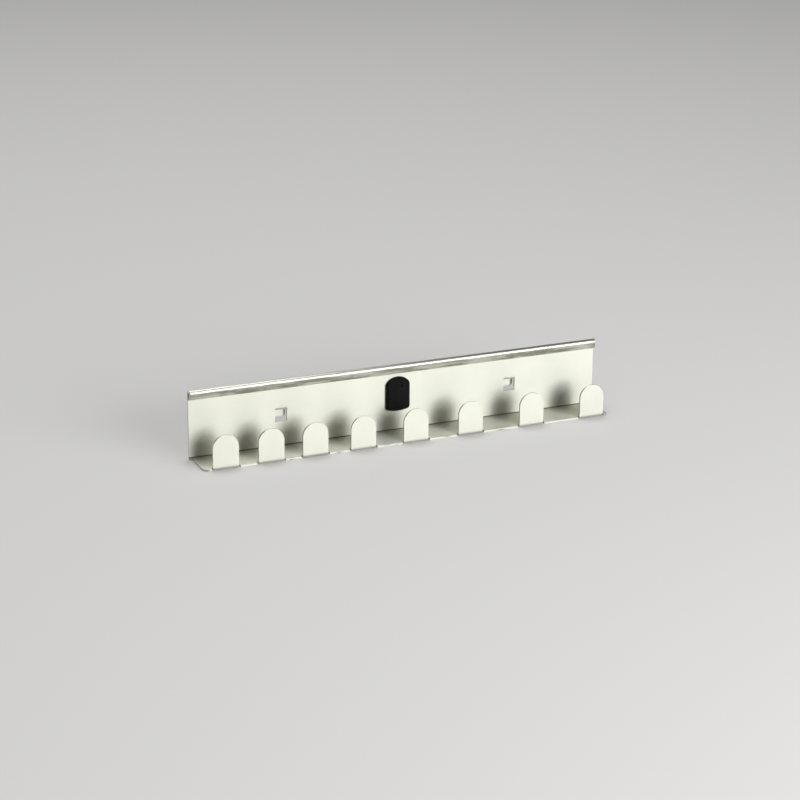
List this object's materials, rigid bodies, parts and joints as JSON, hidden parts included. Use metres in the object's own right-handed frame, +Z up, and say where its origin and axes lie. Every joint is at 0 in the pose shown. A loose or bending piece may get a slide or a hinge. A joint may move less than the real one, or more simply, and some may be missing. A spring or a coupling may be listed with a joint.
{
  "type": "socket holder",
  "caption": "Folded steel strip with a hemmed top and a row of round-topped tabs that socket wrench sockets stand on, hung on a square-hole wall panel by lanced hooks and a plastic snap clip.",
  "frame": {"origin": "on the wall panel's face, midway between the two hooks, at the level where they bear on the lower edges of their holes", "axes": "+X along the strip, from its closely spaced tabs to its widely spaced ones, +Y into the wall panel, +Z up"},
  "size_m": [0.269, 0.0306, 0.044],
  "materials": {
    "plated_steel": "bright plated sheet, satin",
    "black_plastic": "moulded, satin"
  },
  "bodies": {
    "root": {"holder_strip": "plated_steel", "locking_clip": "black_plastic"}
  },
  "joints": []
}
